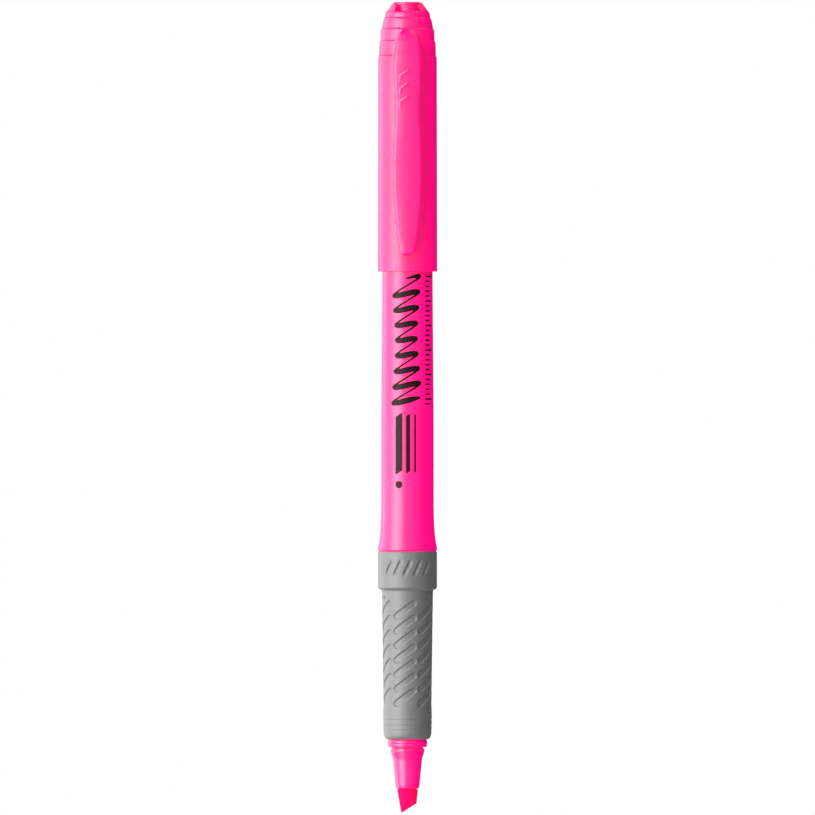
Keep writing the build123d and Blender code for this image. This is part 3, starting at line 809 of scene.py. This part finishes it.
def clip_front(height):
    """How far the middle of the clip's face stands from the pen's axis."""
    blade = [(8.05, CLIP_TIP + 1.0), (8.34, CLIP_TIP + 10), (8.5, HINGE - 16), (8.38, HINGE)]
    brow = [(8.38, HINGE), (8.1, HINGE + 1.6), (7.5, HINGE + 3.2), (6.85, HINGE + 4.9)]
    slope = [(6.85, HINGE + 4.9), (6.12, CLIP_TOP - 1.0), (5.3, CLIP_TOP)]
    side = np.vstack([through(blade, 12)[:-1], through(brow, 8)[:-1], slope])
    toe = np.clip(1 - (height - CLIP_TIP) / TOE_ROLL, 0, 1)
    return np.interp(height, side[:, 1], side[:, 0]) - TOE_DROP * (1 - np.sqrt(1 - toe**2))


def clip_back(x, height):
    """How far the clip's inner side stands from the axis: a nub near its tip, its root inside the cap."""
    nub = BLADE_INNER - NUB_RISE * np.exp(-(((height - NUB_HEIGHT) / NUB_LENGTH) ** 2))
    nub = nub + (TOE_INNER - nub) * ease(CLIP_TIP + 1.6, CLIP_TIP, height)
    wall = np.interp(height, [HINGE, CROWN - 8.6, CROWN - 6.2, CLIP_TOP], [5.3, 5.15, 4.95, 4.5])
    buried = np.sqrt(np.clip(wall**2 - x**2, 0, None))
    return nub + (buried - nub) * ease(HINGE, HINGE + 1.5, height)


def clip_ribs(x, height):
    """Slanted ribs, highest along their upper left edge, which run out to nothing at the lower right."""
    raised = np.zeros(np.broadcast(x, height).shape)
    for rib in range(CLIP_RIBS):
        dx, dz = x - RIB_START[0], height - RIB_START[1] + rib * RIB_PITCH
        along = dx * cos(RIB_SLANT) + dz * sin(RIB_SLANT)
        below = dx * sin(RIB_SLANT) - dz * cos(RIB_SLANT)
        inward = np.minimum(below, dx)
        crest = 0.3 + 0.7 * ease(RIB_CREST, RIB_EDGE, inward)
        fade = (1 - ease(*RIB_FOOT, below)) * (1 - ease(1.8, 2.5, along))
        raised = np.maximum(raised, ease(0.0, RIB_EDGE, inward) * crest * fade)
    return RIB_HEIGHT * raised


def clip_rows():
    """Heights of the clip's rows of points, close together round its tip and along its ribs."""
    ribs_low = RIB_START[1] - (CLIP_RIBS - 1) * RIB_PITCH - 2.0
    ribs_high = RIB_START[1] + 1.9
    tip = CLIP_TIP + TIP_ROWS_END * (1 - np.cos(np.linspace(0.02, pi / 2, 16)))
    blade = np.arange(CLIP_TIP + TIP_ROWS_END, ribs_low, BLADE_STEP)
    ribs = np.arange(ribs_low, ribs_high, RIB_STEP)
    root = np.linspace(ribs_high, CLIP_TOP - 0.01, 44)
    return np.concatenate([tip[:-1], blade, ribs, root])[:, None]


def make_clip():
    height = clip_rows()
    half = clip_half_width(height)
    flank = np.minimum(np.interp(height, [HINGE - 4, HINGE + 2], FLANK_WIDTHS), half * 0.36)
    face = half - flank
    front = clip_front(height)
    crown = FACE_CROWN * np.minimum(1, face / 2)
    # Columns go across the face, down one rounded flank and side, back along the inner side and up again.
    share = np.linspace(-1, 1, FACE_COLUMNS)[None, :]
    x_face = face * share
    y_face = front - crown * share**2 + clip_ribs(x_face, height)
    out = np.array(FLANK_SHARES)[None, :]
    drop = FLANK_DROP * (0.15 * out + 0.75 * out**1.6 + 0.25 * out**8)
    x_flank = face + flank * out
    y_flank = front - crown - drop * flank / FLANK_WIDTHS[0]
    down = np.array(SIDE_SHARES)[None, :]
    top = y_flank[:, -1:]
    x_side = half * np.ones_like(down) - 0.03 * (down > 0.9)
    y_side = top + (clip_back(half, height) - top) * down
    x_back = half * np.linspace(0.97, -0.97, BACK_COLUMNS)[None, :]
    y_back = np.minimum(clip_back(x_back, height), front - 0.02)
    x = np.hstack([x_face, x_flank, x_side, x_back, -x_side[:, ::-1], -x_flank[:, ::-1]])
    y = np.hstack([y_face, y_flank, y_side, y_back, y_side[:, ::-1], y_flank[:, ::-1]])
    points = np.stack([x, -y, np.broadcast_to(height, x.shape)], -1)
    return piece("pocket_clip", points, capped_quads(*x.shape), cap_pink, 50)


clip_piece = make_clip()
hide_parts("clip")
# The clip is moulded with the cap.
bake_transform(clip_piece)

# ---------------------------------------------------------------- inner cap, end plug and reservoir
STEM_LINES, LINE_LENGTH, LINE_ANGLE = 3, 6, radians(12)
LINE_DEPTH, LINE_EDGE = 0.14, (0.03, 0.16)
NOTCHES, NOTCH_FLAT, NOTCH_HALF = 3, 4.71, 0.42
FLANGE_TOP = SEAL_LIP + 1.5
CORE_RADIUS, CORE_FLUTES, FLUTE_DEPTH = 3.0, 44, 0.012
FILM_RADIUS, FILM_BORE, FILM_LAP = 3.1, 3.005, 0.03
PLUG_EDGE = 0.05


def stem_relief(angle, radius, height):
    """Fine grooves down the stem, and air notches in the flange."""
    stem = (np.abs(radius - STEM_RADIUS) < 0.01) & (height > STEM_TOP - LINE_LENGTH)
    line = np.abs(wrap(STEM_LINES * (angle + LINE_ANGLE)) / STEM_LINES) * STEM_RADIUS
    groove = np.where(stem, -LINE_DEPTH * (1 - ease(*LINE_EDGE, line)), 0)
    turn = np.abs(wrap(NOTCHES * (angle - pi / NOTCHES)) / NOTCHES)
    notched = (radius > 4.8) & (height < FLANGE_TOP + 0.1) & (turn < NOTCH_HALF)
    flat = NOTCH_FLAT / np.cos(np.minimum(turn, NOTCH_HALF))
    return groove + np.where(notched, np.minimum(0, flat - radius), 0)


def make_inner_cap():
    corners = [
        (0.0, STEM_TOP - 1.5),
        (PIN_RADIUS + 0.03, STEM_TOP - 1.5, 0.1),
        (PIN_RADIUS + 0.03, STEM_TOP, 0.05),
        (STEM_RADIUS, STEM_TOP, 0.08),
        (STEM_RADIUS, STEM_TOP - 7.3, 0.3),
        (3.0, STEM_TOP - 7.3, 0.2),
        (3.5, STEM_TOP - 8.5, 0.3),
        (4.5, FLANGE_TOP, 0.1),
        (SEAT_RADIUS - 0.03, FLANGE_TOP, 0.1),
        (SEAT_RADIUS - 0.03, SEAL_LIP, 0.1),
        (RING_RADIUS + 0.15, SEAL_LIP, 0.08),
        (RING_RADIUS + 0.02, SEAL_LIP + 0.5, 0.1),
        (RING_RADIUS + 0.02, SEAL_LIP + 1.0, 0.1),
        (RING_RADIUS + 0.05, FLANGE_TOP, 0.1),
        (3.75, SEAL_LIP + 2.2, 0.2),
        (2.8, STEM_TOP - 8.4, 0.2),
        (2.4, STEM_TOP - 8.0, 0.2),
        (0.0, STEM_TOP - 8.0),
    ]
    return lathe("sealing_cap", softened(corners), liner_pink, 240, relief=stem_relief)


place(make_inner_cap(), "inner_cap", "inner_cap_plastic", "inner_cap")


def fibre_flutes(angle, radius, height):
    """Shallow, slightly wandering flutes down the rod."""
    flutes = np.sin(angle * CORE_FLUTES + 0.4 * np.sin(height * 0.6)) - 1
    return np.where(radius > CORE_RADIUS - 0.1, FLUTE_DEPTH * flutes, 0)


def make_core():
    corners = [
        (0.0, CORE_FRONT + 5.0),
        (NIB_RADIUS + 0.02, CORE_FRONT + 5.0),
        (NIB_RADIUS + 0.02, CORE_FRONT),
        (CORE_RADIUS, CORE_FRONT, 0.1),
        (CORE_RADIUS, CORE_REAR - 0.3, 0.15),
        (CORE_RADIUS - 0.3, CORE_REAR, 0.1),
        (0.0, CORE_REAR),
    ]
    return lathe("ink_reservoir", softened(corners), reservoir_fibre(), 220, relief=fibre_flutes)


def lap_seam(angle, radius, height):
    """A fine line down the film where its edge lies over its own start."""
    seam = ease(0.05, 0.0, np.abs(wrap(angle - 1.0)))
    return np.where(radius > FILM_BORE + 0.045, -FILM_LAP * seam, 0)


def make_film():
    path = [
        (FILM_RADIUS, FILM_FRONT),
        (FILM_RADIUS, FILM_REAR),
        (FILM_BORE, FILM_REAR),
        (FILM_BORE, FILM_FRONT),
    ]
    return lathe("reservoir_wrap", path, reservoir_film(), 180, relief=lap_seam)


def finish_plug():
    """The end plug keeps its CAD shape, in the barrel's plastic and with its edges rounded."""
    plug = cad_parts["end_plug"]
    plug.data.materials.clear()
    plug.data.materials.append(barrel_pink)
    smooth = plug.modifiers.new("rounded", "BEVEL")
    smooth.width = PLUG_EDGE * MM
    smooth.segments = 2
    smooth.limit_method = "ANGLE"
    smooth.angle_limit = radians(40)
    plug.data.shade_smooth()
    plug.data.set_sharp_from_angle(angle=radians(34))


place(make_core(), "barrel", "reservoir_fibre", "reservoir_core")
place(make_film(), "barrel", "reservoir_film", "reservoir_film")
finish_plug()

# ---------------------------------------------------------------- print
INK, INK_SINK = 0.014, 0.03
WAVE_TOP, WAVE_BOTTOM = CAP_MOUTH - 1.4, CAP_MOUTH - 26.6
WAVE_TURNS, WAVE_SIDE, WAVE_LEAN = 8.25, -0.25, 0.42
WAVE_WIDTH, WAVE_BULGE, WAVE_GROWTH = 2.35, 0.4, 0.2
THIN, THICK, THICK_POWER = 0.20, 0.62, 1.3
TICKS, TICK_PITCH, LONG_EVERY = 27, 0.98, 5
TICK_TOP, TICK_SIDE, TICK_HALF = CAP_MOUTH - 1.0, 3.95, 0.17
SHORT_TICK, LONG_TICK = 1.35, 2.1
SAMPLES, SAMPLE_SHEAR = ((-1.75, 1.5), (0.1, 0.85), (1.55, 0.38)), 0.6
SAMPLE_LOW, SAMPLE_HIGH = CAP_MOUTH - 40.2, CAP_MOUTH - 28.6
DOT_SIDE, DOT_HEIGHT, DOT_RADIUS = -1.75, CAP_MOUTH - 42.6, 0.75


def ink_patch(s, z):
    """A film of ink on the barrel from a grid of places: s round it and z along it, in millimetres."""
    base = barrel_radius(z)
    angle = s / base
    top, under = polar(base + INK, angle, z), polar(base - INK_SINK, angle, z)
    rows, columns = s.shape
    faces = [list(f) for f in quads(rows, columns, False, False)]
    count = rows * columns
    faces += [[i + count for i in reversed(f)] for f in faces]
    index = np.arange(count).reshape(rows, columns)
    rim = np.concatenate([index[0], index[1:, -1], index[-1, -2::-1], index[-2:0:-1, 0]])
    faces += [[a, b, b + count, a + count] for a, b in zip(rim, np.roll(rim, -1))]
    return np.vstack([top.reshape(-1, 3), under.reshape(-1, 3)]), faces


def stroke_patch(line, half, columns=7):
    """A drawn line with this half width at each of its points."""
    step = np.gradient(line, axis=0)
    step /= np.linalg.norm(step, axis=1)[:, None]
    normal = np.stack([-step[:, 1], step[:, 0]], 1)
    across = np.linspace(-1, 1, columns)
    places = line[:, None, :] + normal[:, None, :] * half[:, None, None] * across[None, :, None]
    return ink_patch(places[:, :, 0], places[:, :, 1])


def bar_patch(centre, width, low, high, shear=0.0, rows=40):
    """A bar along the barrel, with its ends slanted by shear."""
    across = np.linspace(-width / 2, width / 2, 7)[None, :]
    s = np.repeat(centre + across, rows, axis=0)
    z = np.linspace(low, high, rows)[:, None] + shear * across
    return ink_patch(s, z)


def dot_patch(centre, height, radius):
    """A round dot."""
    share = np.linspace(0.04, 1, 8)[None, :] * radius
    turn = np.linspace(0, 2 * pi, 49)[:, None]
    s, z = centre + share * np.cos(turn), height + share * np.sin(turn)
    return ink_patch(s, z)


def wave_patch():
    """A wave whose strokes across the middle are thick one way and thin the other."""
    t = np.linspace(0, 1, 560)
    phase = WAVE_TURNS * 2 * pi * t
    side = (WAVE_WIDTH + WAVE_BULGE * np.cos(t * 2 * pi) + WAVE_GROWTH * t) * np.sin(phase)
    height = WAVE_TOP + (WAVE_BOTTOM - WAVE_TOP) * t + WAVE_LEAN * side
    swell = (0.5 + 0.5 * np.cos(phase)) ** THICK_POWER
    ends = np.clip(np.minimum(t, 1 - t) * 40, 0, 1)
    half = (THIN + (THICK - THIN) * swell) * (0.3 + 0.7 * ends)
    return stroke_patch(np.stack([side + WAVE_SIDE, height], 1), half)


def tick_patch(tick):
    width = SHORT_TICK if tick % LONG_EVERY else LONG_TICK
    z = TICK_TOP - tick * TICK_PITCH
    return bar_patch(TICK_SIDE + width / 2, width, z - TICK_HALF, z + TICK_HALF, rows=4)


def sample_patch(centre, width):
    return bar_patch(centre, width, SAMPLE_LOW, SAMPLE_HIGH, shear=SAMPLE_SHEAR)


def make_print():
    """A drawn wave, a scale of ticks and samples of three line widths, with no lettering."""
    patches = [wave_patch()]
    patches += [tick_patch(tick) for tick in range(TICKS)]
    patches += [sample_patch(*sample) for sample in SAMPLES]
    patches.append(dot_patch(DOT_SIDE, DOT_HEIGHT, DOT_RADIUS))
    points, faces, count = [], [], 0
    for patch_points, patch_faces in patches:
        points.append(patch_points)
        faces += [[i + count for i in face] for face in patch_faces]
        count += len(patch_points)
    return piece("barrel_print", np.vstack(points), faces, print_ink())


place(make_print(), "barrel", None)

# ---------------------------------------------------------------- floor, light and camera
FLOOR_RADIUS, FLOOR_DROP = 150, 60
FRAME_WIDTH, FRAME_MIDDLE = 163.0, (NIB_TIP + CROWN) / 2 - 0.1
LENS, SENSOR, CLIP_RANGE = 1200, 36, (0.1, 20)

# Brightness round the horizon and of the sky over it, by azimuth in degrees from the camera's side to +X.
HORIZON = {
    -180: 0.4, -150: 1.2, -125: 3.3, -105: 3.3, -90: 3.4, -78: 4.0, -68: 6.1, -58: 8.0, -48: 9.3, -38: 7.9,
    -28: 5.5, -18: 2.6, -8: 1.37, 5: 1.02, 20: 0.74, 40: 0.5, 60: 0.2, 90: 0.06, 155: 0,
}
SKY = {-180: 0.2, -135: 0, -90: 0, -45: 0, 0: 0.2, 45: 0.8, 90: 1.5, 135: 1.8}
LEVEL_SCALE = 10
# How steep a ray is, up or down, where the horizon gives way to the sky.
SKY_RISE = (0.6, 0.85)
# How steep it is where the world below is darkened, the share of its light that is left there, and the
# share that reflections still see.
FLOOR_FALL, FLOOR_SHARE, FLOOR_GLOSS = (-0.38, -0.26), 0.08, 0.45


def make_floor():
    s = Shader("pale_floor")
    tone = s.mix(s.remap(s.noise(40.0), 0.3, 0.7), (0.86, 0.86, 0.86), (0.88, 0.88, 0.88))
    s.link(tone, s.surface.inputs["Base Color"])
    s.set(Roughness=0.9)
    # The camera sees the floor as evenly bright as the backdrop.
    seen = s.node("ShaderNodeLightPath")
    white = s.node("ShaderNodeEmission", Strength=1.0)
    blend = s.node("ShaderNodeMixShader")
    s.link(seen.outputs["Is Camera Ray"], blend.inputs[0])
    s.link(s.surface.outputs[0], blend.inputs[1])
    s.link(white.outputs[0], blend.inputs[2])
    s.link(blend.outputs[0], s.nodes["Material Output"].inputs["Surface"])
    ring = polar(FLOOR_RADIUS, np.linspace(0, 2 * pi, 64, endpoint=False), NIB_TIP - FLOOR_DROP)
    floor = piece("floor", ring, [list(range(64))], s.material)
    floor.visible_glossy = False


def level_ring(graph, share, levels):
    """Grey levels round the whole turn. share is 0 and 1 straight behind, and 0.5 at the camera's side."""
    made = graph.node("ShaderNodeValToRGB")
    graph.link(share, made.inputs[0])
    stops = made.color_ramp.elements
    levels = [*levels.items(), (180, levels[-180])]
    while len(stops) < len(levels):
        stops.new(0.5)
    for stop, (degrees, level) in zip(stops, levels):
        grey = level / LEVEL_SCALE
        stop.position = (degrees + 180) / 360
        stop.color = (grey, grey, grey, 1)
    return made.outputs[0]


def make_world():
    """White for the camera; for all else a studio, brightest at the front left and dark on the right."""
    world = bpy.data.worlds.new("studio")
    bpy.context.scene.world = world
    world.use_nodes = True
    g = Graph(world.node_tree)
    ray = g.node("ShaderNodeSeparateXYZ")
    g.link(g.node("ShaderNodeTexCoord").outputs["Generated"], ray.inputs[0])
    azimuth = g.maths("ARCTAN2", ray.outputs["X"], g.maths("MULTIPLY", ray.outputs["Y"], -1.0))
    share = g.maths("ADD", g.maths("DIVIDE", azimuth, 2 * pi), 0.5)
    rise = g.remap(g.maths("ABSOLUTE", ray.outputs["Z"]), *SKY_RISE)
    level = g.mix(rise, level_ring(g, share, HORIZON), level_ring(g, share, SKY))

    path = g.node("ShaderNodeLightPath")
    below = g.remap(ray.outputs["Z"], *FLOOR_FALL, FLOOR_SHARE, 1.0)
    reflected = g.maths("MULTIPLY", path.outputs["Is Glossy Ray"], FLOOR_GLOSS)
    strength = g.maths("MULTIPLY", g.maths("MAXIMUM", below, reflected), LEVEL_SCALE)

    studio = g.node("ShaderNodeBackground")
    g.link(level, studio.inputs["Color"])
    g.link(strength, studio.inputs["Strength"])
    backdrop = g.node("ShaderNodeBackground", Color=(1, 1, 1, 1))
    pick = g.node("ShaderNodeMixShader")
    g.link(path.outputs["Is Camera Ray"], pick.inputs[0])
    g.link(studio.outputs[0], pick.inputs[1])
    g.link(backdrop.outputs[0], pick.inputs[2])
    g.link(pick.outputs[0], g.nodes["World Output"].inputs["Surface"])


def make_camera():
    """A long lens level with the pen's middle, far enough away to frame its whole length."""
    lens = bpy.data.cameras.new("camera")
    lens.lens, lens.sensor_width = LENS, SENSOR
    lens.clip_start, lens.clip_end = CLIP_RANGE
    camera = bpy.data.objects.new("camera", lens)
    camera.location = (0, -FRAME_WIDTH * MM * LENS / SENSOR, FRAME_MIDDLE * MM)
    camera.rotation_euler = (pi / 2, 0, 0)
    bpy.context.scene.collection.objects.link(camera)
    bpy.context.scene.camera = camera


make_floor()
make_world()
make_camera()
bpy.context.scene.view_settings.view_transform = "Standard"
